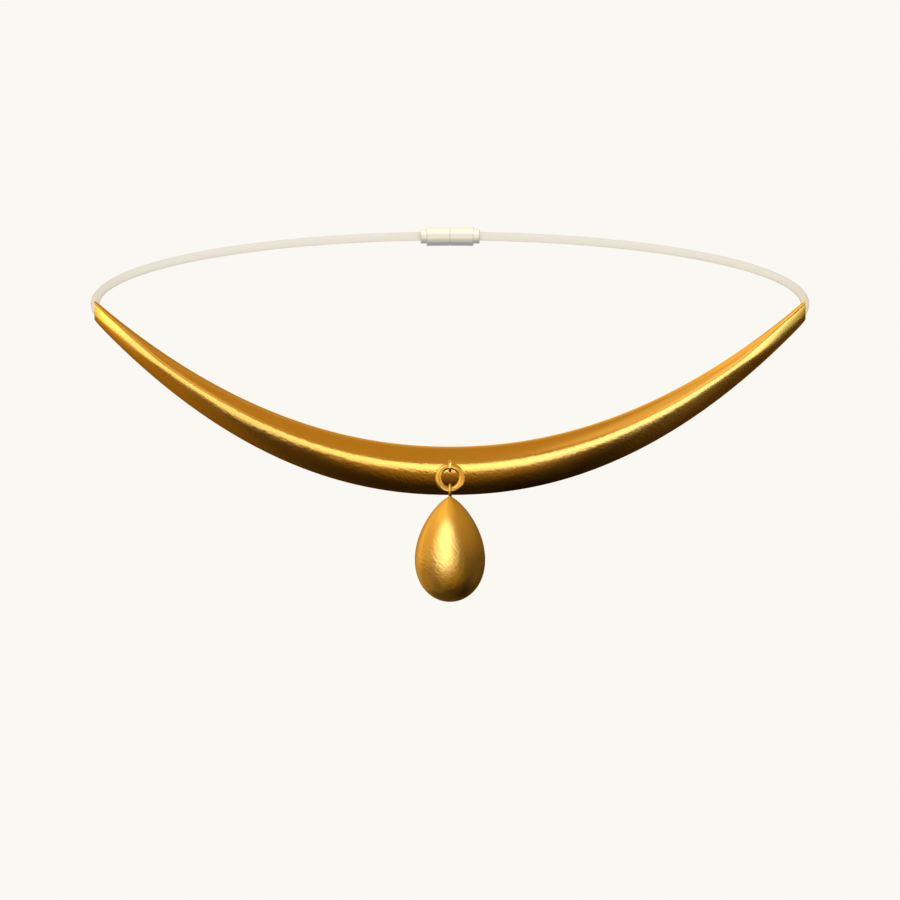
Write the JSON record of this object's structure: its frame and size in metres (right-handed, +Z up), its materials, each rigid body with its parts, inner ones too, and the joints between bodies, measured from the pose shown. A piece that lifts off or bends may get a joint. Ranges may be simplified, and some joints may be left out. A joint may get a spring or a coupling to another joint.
{
  "type": "choker necklace with a drop pendant",
  "caption": "Rigid choker: a tapering gold crescent collar on a thin pale neck wire with a barrel clasp, and a gold teardrop hanging from a ring on the collar's ridge.",
  "frame": {"origin": "middle of the neck hollow, level with the widest points of the loop", "axes": "+Z up as worn, -Y towards the front where the drop hangs, +X along the width"},
  "size_m": [0.1316, 0.1279, 0.0689],
  "materials": {
    "gold_plate": "satin-polished gold plating on brass",
    "wire_coat": "smooth milky coat on spring wire",
    "clasp_metal": "polished white metal"
  },
  "bodies": {
    "choker": {"collar": "gold_plate", "neck_wire_left": "wire_coat", "neck_wire_right": "wire_coat", "clasp": "clasp_metal"},
    "ring": {"ring": "gold_plate"},
    "drop": {"drop": "gold_plate"}
  },
  "joints": [
    {"name": "ring_swing", "type": "hinge", "parent": "choker", "child": "ring", "pos_m": [0, -0.0621, -0.02976], "axis": [-1, 0, 0], "range_deg": [-10, 75]},
    {"name": "drop_sway", "type": "hinge", "parent": "ring", "child": "drop", "pos_m": [0, -0.0621, -0.03189], "axis": [0, 1, 0], "range_deg": [-35, 35]}
  ]
}
